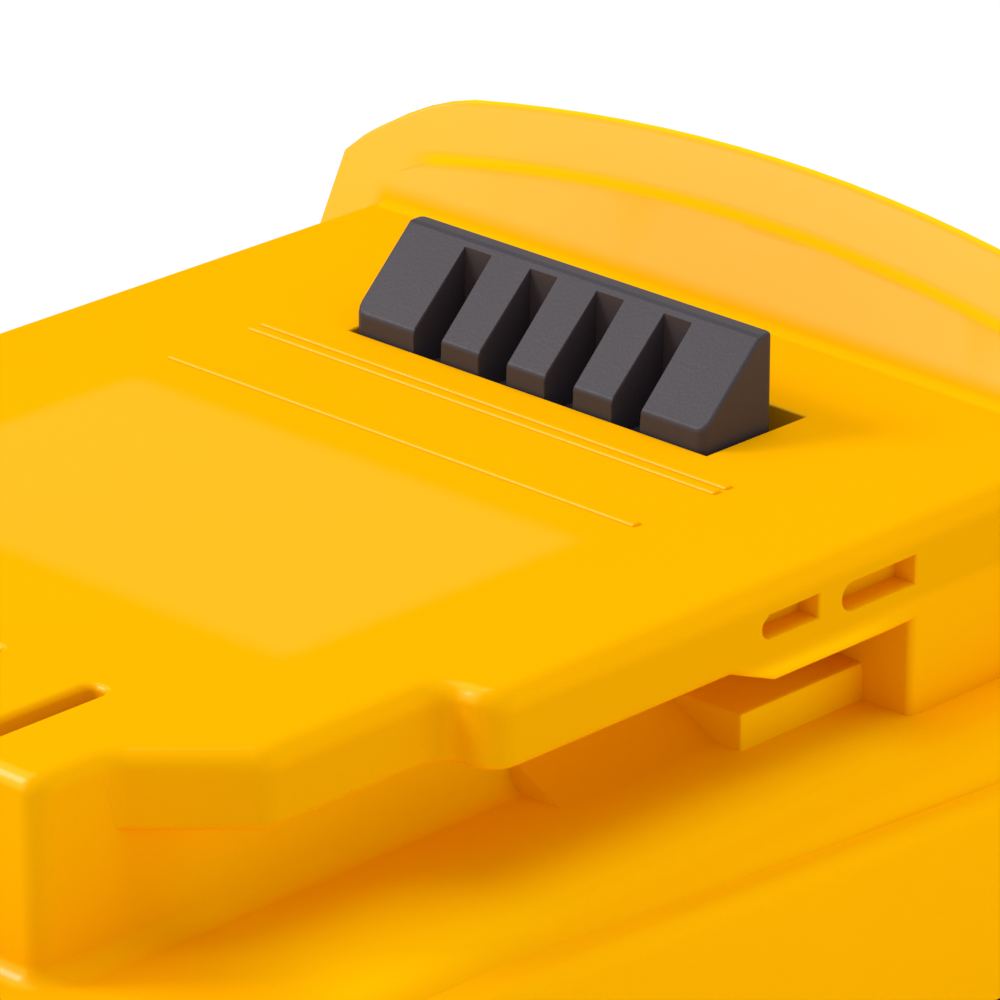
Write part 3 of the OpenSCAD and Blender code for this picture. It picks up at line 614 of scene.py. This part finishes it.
class PackEdges(bpy.types.PropertyGroup):
    """Widths of the moulded rounds, in millimetres."""

    deck: length("Deck rim", "Round along the deck's rim", 1.1)
    corner: length("Neck corners", "Round on the neck's upright corners", 1.4)
    lead: length("Lead-in", "Round on the flange's lead-in", 0.8)
    flange: length("Flange", "Round under the flange", 0.5)
    fillet: length("Neck fillet", "Fillet where the neck meets the shoulder", 1.2)
    groove_step: length("Groove step", "Round on the ramp and the step of the groove's floor", 0.3)
    mouth: length("Slot mouths", "Round on the terminal slots", 0.45)
    slot_end: length("Slot ends", "Round in the corners of the terminal slots", 0.6)
    well: length("Latch well", "Round on the opening for the latch's tooth", 0.15)
    pocket: length("Pockets", "Round on the pockets in the flange", 0.2)
    hump_fillet: length("Hump fillet", "Fillet where the hump meets the deck", 0.6)
    hump_side: length("Hump sides", "Round on the edges of the hump's sides", 0.15)
    hump_rear: length("Hump rear", "Round along the hump's rear edge", 0.5)
    ridge: length("Ridge", "Round along the hump's ridge", 0.35)
    window: length("Thumb window", "Round on the opening for the thumb button", 0.35)
    panel: length("Panels", "Round on the side panels", 1.1)
    panel_end: length("Panel ends", "Round where the panels run out at the ends", 0.45)
    parting: length("Parting line", "Round along the parting line", 0.25)
    tray: length("Tray", "Round along the lower shell's foot and on its rear wall", 0.2)
    rule: length("Rules", "Round on the rules across the deck", 0.16)
    tooth: length("Tooth", "Round on the outer edges of the latch's tooth", 0.22)
    tooth_front: length("Tooth front", "Round on the tooth's upright front corners", 0.7)
    tooth_back: length("Tooth back", "Round on the tooth's upright back corners", 0.45)
    tooth_slot: length("Tooth slots", "Round on the slots in the tooth", 0.1)
    thumb: length("Thumb button", "Round on the thumb button", 0.18)
    gauge_lens: length("Gauge lens", "Round on the gauge's lens", 0.3)


class PackColours(bpy.types.PropertyGroup):
    """Colours of the finishes."""

    housing: colour("Housing", "Yellow of the upper shell", (0.935, 0.432, 0.0005))
    housing_deep: colour("Housing, deep", "Deeper patches of the yellow", (0.915, 0.395, 0.0003))
    # Painted sheen: a paler yellow on the smooth places, standing in for their reflection
    housing_painted_sheen: colour("Housing, pale", "Smooth places of the yellow", (0.965, 0.495, 0.004))
    # Painted highlight: a brighter yellow along the hump's lines
    housing_painted_highlight: colour("Housing, bright", "Lines along the hump", (1.0, 0.58, 0.003))
    # Painted fill light: a paler yellow in the rail's groove
    housing_painted_fill: colour("Housing, groove", "Paler yellow in the rail's groove", (1.0, 0.55, 0.0005))
    latch: colour("Latch", "Dark grey of the latch", (0.0435, 0.037, 0.0455))
    tray: colour("Tray", "Charcoal of the lower shell", (0.022, 0.021, 0.024))
    holder: colour("Holders", "Dark grey of the cell holders", (0.030, 0.030, 0.032))
    sleeve: colour("Sleeves", "Blue of the cells' sleeves", (0.03, 0.15, 0.26))
    steel: colour("Steel", "Springs and cell ends", (0.62, 0.62, 0.61))
    nickel: colour("Nickel", "Strips between the cells", (0.66, 0.64, 0.58))
    brass: colour("Contacts", "Forked contacts", (0.78, 0.50, 0.22))
    screw: colour("Screws", "Black coated screws", (0.05, 0.05, 0.055))
    paper: colour("Paper", "Insulating rings and sheets", (0.78, 0.74, 0.62))
    foam: colour("Foam", "Pad under the cells", (0.05, 0.05, 0.055))
    board: colour("Boards", "Green of the boards", (0.010, 0.090, 0.035))
    ribbon: colour("Ribbons", "Amber of the ribbons", (0.50, 0.20, 0.04))
    lens: colour("Lens", "Milky gauge lens", (0.72, 0.73, 0.71))
    light: colour("Lights", "Unlit gauge lights", (0.66, 0.78, 0.64))
    floor: colour("Floor", "Pale floor under the part", (0.93, 0.93, 0.93))


class PackStage(bpy.types.PropertyGroup):
    """Camera, lights and floor."""

    azimuth: angle("Azimuth", "Camera's turn about the part", 43.8511)
    elevation: angle("Elevation", "Camera's height over the horizon", 22.1786)
    roll: angle("Roll", "Camera's turn about its own axis", 0.1443)
    lens: bpy.props.FloatProperty(name="Lens", description="Focal length", default=261.786, unit="CAMERA")
    sensor: bpy.props.FloatProperty(name="Sensor", description="Sensor's width", default=36.0, unit="CAMERA")
    near: length("Near limit", "Least distance that the camera sees", 10.0)
    distance: length("Distance", "From the camera to the point it looks at", 412.598)
    aim: point("Aim", "Point that the camera looks at", (10.759, -6.711, 38.0))
    key_power: power("Key light", "Power of the large softbox", 4.25)
    key_size: length("Key size", "Width of the large softbox", 350)
    key_place: point("Key place", "Way from the aim to the large softbox", (-600, -500, 550))
    top_power: power("Top light", "Power of the overhead softbox", 2.45)
    top_size: length("Top size", "Width of the overhead softbox", 600)
    top_place: point("Top place", "Way from the aim to the overhead softbox", (50, 100, 800))
    card_power: power("Card", "Power of the small card beside the pack", 0.024)
    card_size: length("Card size", "Width of the small card", 80)
    card_place: point("Card place", "Way from the aim to the small card", (100, 10, -28))
    ambient: bpy.props.FloatProperty(name="Ambient", description="Brightness of the surroundings",
                                     default=0.62)
    floor_size: length("Floor size", "Half the floor's width", 2000)


class PACK_OT_upper_shell(bpy.types.Operator):
    """Rounds the upper shell's moulded edges, adds its rules and gives it its satin yellow, whose colour
    holds painted light
    """

    bl_idname = "pack.upper_shell"
    bl_label = "Upper shell"

    def execute(self, context):
        edges = context.scene.pack_edges
        bm = blank_shell("upper_housing", *SHELL_CUTS)
        self.rail(bm, edges)
        self.openings(bm, edges)
        self.hump(bm, edges)
        self.body(bm, edges)
        self.rules(bm, edges.rule)
        piece_from(bm, "upper_shell", satin_yellow_painted_light(context.scene.pack_colours), "housing", "upper_housing")
        return {"FINISHED"}

    def rail(self, bm, edges):
        """Neck, lead-in, flange and deck: upright edges first, then the rims."""
        def lead_in(e):
            return e.upright and (e.on(x=NECK_X, y=LEAD_Y) or e.on(x=FLANGE_X, y=LEAD_END))

        def flange_under(e):
            below = DECK_Z - FLANGE_REAR_T - NEAR < e.z < FLANGE_Z + NEAR and e.side > NECK_X + NEAR
            along = below and LEAD_Y < e.y < BLOCK_Y and e.turn > BLUNT and not e.upright
            return e.outward and (along or e.upright and e.on(x=DECK_X, y=BLOCK_Y))

        def deck_rim(e):
            outer = e.side > NECK_X - edges.corner - NEAR or e.y < NECK_Y + NEAR
            return e.level and e.outward and e.on(z=DECK_Z) and outer

        def neck_foot(e):
            return not e.outward and e.on(z=SHOULDER_Z) and e.side < NECK_X + NEAR and e.y < RAMP_Y - NEAR

        def groove_step(e):
            inside = NECK_X < e.side < FLANGE_X + NEAR and RAMP_Y - NEAR < e.y < BLOCK_Y
            return e.turn > SQUARE and inside and SHOULDER_Z < e.z < SHOULDER_Z + GROOVE_STEP_H + NEAR

        round_edges(bm, edges.corner, lambda e: e.upright and e.on(x=NECK_X, y=NECK_Y), segments=5)
        round_edges(bm, edges.lead, lead_in, segments=4)
        round_edges(bm, edges.flange, flange_under)
        round_edges(bm, edges.deck, deck_rim, segments=5)
        round_edges(bm, edges.fillet, neck_foot, segments=5)
        round_edges(bm, edges.groove_step, groove_step, segments=2)

    def openings(self, bm, edges):
        """Terminal slots, the latch's well and the pockets in the flange."""
        half, end = SLOT_HALF - edges.mouth, SLOT_END - edges.mouth
        walls = [place + way * half for place in SLOT_PLACES for way in (-1, 1)]
        self.draw_in(bm, edges.mouth)

        def on_wall(e):
            return any(e.on(x=wall) for wall in walls)

        def slot_mouth(e):
            outside = e.y < NECK_Y + NEAR or e.z > DECK_Z - edges.deck - NEAR
            at_end = e.y > end - edges.slot_end - NEAR and e.side < walls[-1] + NEAR
            return e.outward and outside and e.y < end + NEAR and (
                on_wall(e) and e.z > SLOT_FOOT or at_end and e.on(z=DECK_Z) or e.on(y=NECK_Y, z=SLOT_FOOT))

        def well_rim(e):
            return (e.outward and e.on(z=DECK_Z) and e.side < TOOTH_X + WELL_MARGIN
                    and TOOTH_Y - WELL_MARGIN < e.y < WELL_END)

        def pocket_rim(e):
            return (e.outward and e.on(x=DECK_X) and POCKET_LOW < e.z < POCKET_HIGH
                    and POCKET_FRONT < e.y < POCKET_REAR)

        round_edges(bm, edges.slot_end, lambda e: e.upright and e.on(y=end) and on_wall(e), segments=5)
        round_edges(bm, edges.mouth, slot_mouth, segments=5)
        round_edges(bm, edges.well, well_rim)
        round_edges(bm, edges.pocket, pocket_rim, segments=2)

    def draw_in(self, bm, mouth):
        """Draws the slots' walls in by their mouths' rounds, and the well's front edge towards the tooth."""
        for vert in bm.verts:
            x, y, z = vert.co / MM
            for place in SLOT_PLACES:
                off = abs(x) - place
                if abs(abs(off) - SLOT_HALF) < NEAR and y < SLOT_END + NEAR and z > SLOT_FOOT - NEAR:
                    vert.co.x -= math.copysign(mouth, x * off) * MM
                    if y > SLOT_END - NEAR:
                        vert.co.y -= mouth * MM
            if abs(y - TOOTH_Y + SLIDE_GAP) < NEAR and abs(x) < TOOTH_X + SLIDE_GAP + NEAR:
                vert.co.y += (SLIDE_GAP - SEEN_GAP) * MM

    def hump(self, bm, edges):
        """The hump's field, sides, ridge, fillet, thumb window and rear edge."""
        def ridge(e):
            return e.turn > SQUARE and e.z > HUMP_LOW and e.back > FACES_BACK

        def window_rim(e):
            return (e.outward and e.back > FACES_BACK and e.top > FACES_UP and e.side < WINDOW_X
                    and WINDOW_FRONT < e.y < WINDOW_REAR)

        def rear_rim(e):
            return (e.outward and e.top > FACES_UP and e.y > HUMP_REAR
                    and e.rim(HUMP_X, HUMP_END) and e.z > SHOULDER_Z)

        def hump_foot(e):
            return not e.outward and e.on(z=DECK_Z) and e.y > HUMP_Y - NEAR

        self.field(bm)
        round_edges(bm, edges.hump_side, lambda e: e.turn > SQUARE and e.on(x=HUMP_X), segments=2)
        round_edges(bm, edges.ridge, ridge, segments=4)
        round_edges(bm, edges.hump_fillet, hump_foot, segments=5)
        round_edges(bm, edges.window, window_rim, segments=2)
        round_edges(bm, edges.hump_rear, rear_rim)

    def field(self, bm):
        """Slopes the upper wall of the shallow field in the hump's face and eases the hump's shoulders."""
        up = Vector((0, math.sin(HUMP_LEAN), math.cos(HUMP_LEAN)))
        inward = Vector((0, math.cos(HUMP_LEAN), -math.sin(HUMP_LEAN)))
        foot = Vector((0, HUMP_Y, DECK_Z))
        low, high = FIELD_RIM
        for vert in bm.verts:
            place = vert.co / MM
            depth = (place - foot).dot(inward)
            over = place.z + place.x ** 2 * FIELD_BEND - FIELD_Z
            if low < over < high and -NEAR < depth < FIELD_DEPTH + NEAR:
                slope = FIELD_DEPTH * (1 - (place.x / FIELD_X) ** 2)
                vert.co += up * slope * MM * (1 if depth < slope / 2 else -1)
            elif abs(place.x) > CROWN_X and place.y > HUMP_Y and place.z > HUMP_LOW:
                vert.co -= up * SHOULDER_EASE * (abs(place.x) - CROWN_X) / (HUMP_X - CROWN_X) * MM

    def body(self, bm, edges):
        """Panel rims, fuller along the sides than round the ends, and the parting line."""
        def panel_rim(e):
            return e.turn > SQUARE and e.rim() and e.z > PANEL_LOW

        round_edges(bm, edges.panel_end, panel_rim, segments=5)
        core_x, core_y = SHELL_HIGH.x - CORNER_R, SHELL_HIGH.y - CORNER_R
        for vert in bm.verts:
            x, y, z = vert.co / MM
            out = Vector((max(abs(x) - core_x, 0), max(abs(y) - core_y, 0)))
            inset = CORNER_R - out.length
            drop = PANEL_Z - max(y - PANEL_BEND_Y, 0) * PANEL_DROP / PANEL_RUN - z
            if -NEAR < inset < edges.panel_end + NEAR and -NEAR < drop < edges.panel_end + NEAR:
                aside = min(1, out.x / (CORNER_R * math.sqrt(0.5)))
                grow = (edges.panel / edges.panel_end - 1) * aside
                inward = out.normalized() * inset * grow
                vert.co -= Vector((math.copysign(inward.x, x), math.copysign(inward.y, y), drop * grow)) * MM
        round_edges(bm, edges.parting, on_parting, segments=2)
        lower_parting(bm, edges.parting)

    def rules(self, bm, width):
        """Three plain raised rules across the deck."""
        for y in RULE_PLACES:
            made = bmesh.ops.create_cube(bm, size=1.0)["verts"]
            bmesh.ops.scale(bm, vec=Vector(RULE_SIZE) * MM, verts=made)
            bmesh.ops.translate(bm, vec=Vector((0, y, DECK_Z - RULE_SINK)) * MM, verts=made)
            lines = {e for v in made for e in v.link_edges}
            bmesh.ops.bevel(bm, geom=list(lines), offset=width * MM, offset_type="OFFSET", segments=3,
                            profile=0.5, affect="EDGES", clamp_overlap=True)


class PACK_OT_lower_shell(bpy.types.Operator):
    """Rounds the lower shell's rims and gives it its charcoal finish"""

    bl_idname = "pack.lower_shell"
    bl_label = "Lower shell"

    def execute(self, context):
        edges, colours = context.scene.pack_edges, context.scene.pack_colours
        bm = blank_shell("lower_housing")

        def foot_or_rear(e):
            return e.turn > SQUARE and (e.on(z=0) or e.on(y=SHELL_HIGH.y))

        round_edges(bm, edges.parting, on_parting, segments=2)
        round_edges(bm, edges.tray, foot_or_rear, segments=2)
        lower_parting(bm, edges.parting)
        charcoal = dark_plastic("charcoal_plastic", colours.tray)
        piece_from(bm, "lower_shell", charcoal, "housing", "lower_housing")
        dress(charcoal, "terminal_block")
        dress(metal("coated_screws", colours.screw, roughness=0.45), "housing_screws")
        return {"FINISHED"}


class PACK_OT_latch(bpy.types.Operator):
    """Rounds the latch, winds its springs and gives them their finishes"""

    bl_idname = "pack.latch"
    bl_label = "Release latch"

    def execute(self, context):
        edges, colours = context.scene.pack_edges, context.scene.pack_colours
        bm = blank_shell("release_latch")

        def on_slot(e):
            return any(e.on(x=wall) for wall in TOOTH_WALLS)

        def tooth_rim(e):
            outer = e.side > TOOTH_X - edges.tooth_front - NEAR or e.on(y=TOOTH_Y) or e.on(z=LATCH_HIGH.z)
            return e.outward and e.z > DECK_Z and e.y < TOOTH_BACK + NEAR and outer and not on_slot(e)

        def thumb_rim(e):
            return e.outward and e.y > BUTTON_Y - NEAR and e.top > FACES_UP

        round_edges(bm, edges.tooth_front, lambda e: e.upright and e.on(x=TOOTH_X, y=TOOTH_Y), segments=4)
        round_edges(bm, edges.tooth_back, lambda e: e.upright and e.on(x=TOOTH_X, y=TOOTH_BACK), segments=4)
        round_edges(bm, edges.tooth, tooth_rim, least=LATCH_TURN)
        round_edges(bm, edges.tooth_slot, lambda e: e.outward and e.z > DECK_Z and on_slot(e), segments=2)
        round_edges(bm, edges.thumb, thumb_rim, segments=2, least=LATCH_TURN)
        piece_from(bm, "latch", dark_plastic("latch_plastic", colours.latch), "latch", "release_latch")
        steel = metal("spring_steel", colours.steel, roughness=0.25)
        for side in ("left", "right"):
            self.spring("latch_spring_" + side, steel)
        return {"FINISHED"}

    def spring(self, node, steel):
        """A wound spring with closed end coils, in place of the coarse one."""
        low, high = box_of(node)
        middle = (low + high) / 2
        wire = SPRING_WIRE / 2
        coil = (high.x - low.x) / 2 - wire
        pitch = (high.z - low.z - SPRING_WIRE - 2 * SPRING_END_PITCH) / (SPRING_TURNS - 2)
        bm = bmesh.new()
        rings = []
        for i in range(int(SPRING_TURNS * SPRING_TURN_STEPS) + 1):
            turn = i / SPRING_TURN_STEPS
            closed = min(turn, 1) + max(turn - SPRING_TURNS + 1, 0)
            rise = closed * SPRING_END_PITCH + min(max(turn - 1, 0), SPRING_TURNS - 2) * pitch
            out = Vector((math.cos(math.tau * turn), math.sin(math.tau * turn), 0))
            centre = Vector((middle.x, middle.y, low.z + wire + rise)) + out * coil
            rings.append(self.ring(bm, centre, out, wire))
        for first, second in zip(rings, rings[1:]):
            for k in range(SPRING_SIDES):
                bm.faces.new((first[k], first[k - 1], second[k - 1], second[k]))
        bm.faces.new(rings[0])
        bm.faces.new(reversed(rings[-1]))
        piece = piece_from(bm, node + "_wound", steel, "housing", node)
        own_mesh(piece)

    def ring(self, bm, centre, out, wire):
        """One ring of points round the wire, in the plane of the coil's axis and the way out."""
        points = []
        for k in range(SPRING_SIDES):
            around = math.tau * k / SPRING_SIDES
            off = math.cos(around) * out + Vector((0, 0, math.sin(around)))
            points.append(bm.verts.new((centre + wire * off) * MM))
        return points


class PACK_OT_cells(bpy.types.Operator):
    """Gives the cells, holders, strips and insulation their finishes"""

    bl_idname = "pack.cells"
    bl_label = "Cells"

    def execute(self, context):
        colours = context.scene.pack_colours
        cells = [n for n in frame["nodes"] if n.startswith("cell_") and n.removeprefix("cell_").isdigit()]
        strips = [n for n in frame["nodes"] if n.startswith("strip_")]
        dress(shrink_sleeve(colours), *cells)
        holder = dark_plastic("holder_plastic", colours.holder, grain_size=0.3)
        dress(holder, "cell_holder_left", "cell_holder_right")
        dress(metal("nickel_strip", colours.nickel, roughness=0.3, stretch=(1, 6, 1)), *strips)
        dress(pressed_paper(colours), "cell_insulators", "insulation_left", "insulation_right")
        dress(closed_foam(colours), "cell_foam")
        return {"FINISHED"}


class PACK_OT_boards(bpy.types.Operator):
    """Rounds the gauge's lens and gives the boards, their parts, the contacts and the gauge their finishes"""

    bl_idname = "pack.boards"
    bl_label = "Boards and gauge"

    def execute(self, context):
        edges, colours = context.scene.pack_edges, context.scene.pack_colours
        contacts = [n for n in frame["nodes"] if n.startswith("contact_")]
        black = shade(colours.holder, 0.6)
        dress(coated_board(colours), "control_board", "gauge_board")
        dress(dark_plastic("part_plastic", black, grain_size=0.1), "board_parts", "temperature_sensor")
        dress(metal("contact_brass", colours.brass, roughness=0.28, stretch=(1, 6, 1)), *contacts)
        dress(flat_ribbon(colours), "sense_ribbon", "gauge_ribbon")
        dress(unlit_light(colours), "gauge_lights")
        bm = blank_shell("gauge_lens")
        face_y = box_of("gauge_lens")[1].y
        round_edges(bm, edges.gauge_lens, lambda e: e.outward and e.on(y=face_y))
        piece_from(bm, "gauge_window", gauge_window(colours), "housing", "gauge_lens")
        dress(dark_plastic("gauge_button_plastic", colours.latch), "gauge_button")
        return {"FINISHED"}


class PACK_OT_stage(bpy.types.Operator):
    """Adds the pale floor, the soft lights and the camera"""

    bl_idname = "pack.stage"
    bl_label = "Stage"

    def execute(self, context):
        scene, stage = context.scene, context.scene.pack_stage
        self.floor(scene, stage.floor_size)
        self.softbox("softbox_left", stage.key_power, stage.key_size, stage.key_place)
        self.softbox("softbox_top", stage.top_power, stage.top_size, stage.top_place)
        self.softbox("card_right", stage.card_power, stage.card_size, stage.card_place)
        self.surroundings(scene, stage)
        self.camera(scene, stage)
        scene.view_settings.view_transform = "Standard"
        return {"FINISHED"}

    def floor(self, scene, size):
        """A wide pale floor under the part."""
        bm = bmesh.new()
        bmesh.ops.create_grid(bm, x_segments=8, y_segments=8, size=size * MM)
        mesh = bpy.data.meshes.new("floor")
        bm.to_mesh(mesh)
        bm.free()
        mesh.materials.append(Finish("pale_floor", scene.pack_colours.floor, roughness=0.6).material)
        floor = bpy.data.objects.new("floor", mesh)
        scene.collection.objects.link(floor)

    def softbox(self, name, watts, size, place):
        """A square soft light, which faces the camera's aim from a place given from there."""
        scene = bpy.context.scene
        way = Vector(place) * MM
        data = bpy.data.lights.new(name, "AREA")
        data.energy = watts
        data.size = size * MM
        light = bpy.data.objects.new(name, data)
        light.location = Vector(scene.pack_stage.aim) * MM + way
        light.rotation_mode = "QUATERNION"
        light.rotation_quaternion = way.to_track_quat("Z", "Y")
        scene.collection.objects.link(light)

    def surroundings(self, scene, stage):
        """Even pale surroundings."""
        scene.world = bpy.data.worlds.new("surroundings")
        scene.world.use_nodes = True
        back = scene.world.node_tree.nodes["Background"]
        back.inputs["Color"].default_value = (1, 1, 1, 1)
        back.inputs["Strength"].default_value = stage.ambient

    def camera(self, scene, stage):
        """The camera at the photograph's angle."""
        data = bpy.data.cameras.new("camera")
        data.lens = stage.lens
        data.sensor_width = stage.sensor
        data.clip_start = stage.near * MM
        camera = bpy.data.objects.new("camera", data)
        turn, rise = stage.azimuth, stage.elevation
        back = Vector((math.sin(turn) * math.cos(rise), -math.cos(turn) * math.cos(rise), math.sin(rise)))
        right = Vector((math.cos(turn), math.sin(turn), 0))
        up = back.cross(right)
        tilted = right * math.cos(stage.roll) + up * math.sin(stage.roll)
        upward = up * math.cos(stage.roll) - right * math.sin(stage.roll)
        camera.matrix_world = Matrix((tilted, upward, back)).transposed().to_4x4()
        camera.location = (Vector(stage.aim) + back * stage.distance) * MM
        scene.collection.objects.link(camera)
        scene.camera = camera


class PACK_PT_panel(bpy.types.Panel):
    """Lists the pack's sizes, colours and pieces"""

    bl_idname = "PACK_PT_panel"
    bl_label = "Battery pack"
    bl_space_type = "VIEW_3D"
    bl_region_type = "UI"
    bl_category = "Battery pack"

    def draw(self, context):
        for group in GROUPS:
            settings = getattr(context.scene, group)
            for name in settings.__annotations__:
                self.layout.prop(settings, name)
        for operator in OPERATORS:
            self.layout.operator(operator.bl_idname)


GROUPS = {"pack_edges": PackEdges, "pack_colours": PackColours, "pack_stage": PackStage}
OPERATORS = (PACK_OT_upper_shell, PACK_OT_lower_shell, PACK_OT_latch, PACK_OT_cells, PACK_OT_boards,
             PACK_OT_stage)
CLASSES = (*GROUPS.values(), *OPERATORS, PACK_PT_panel)


def register():
    """Adds the classes and the scene's settings."""
    for made in CLASSES:
        bpy.utils.register_class(made)
    for name, group in GROUPS.items():
        setattr(bpy.types.Scene, name, bpy.props.PointerProperty(type=group))


def unregister():
    """Takes the settings and the classes away again."""
    for name in GROUPS:
        delattr(bpy.types.Scene, name)
    for made in reversed(CLASSES):
        bpy.utils.unregister_class(made)


def main():
    """Builds every piece in order."""
    register()
    for operator in OPERATORS:
        group, name = operator.bl_idname.split(".")
        getattr(getattr(bpy.ops, group), name)()


if __name__ == "__main__":
    main()
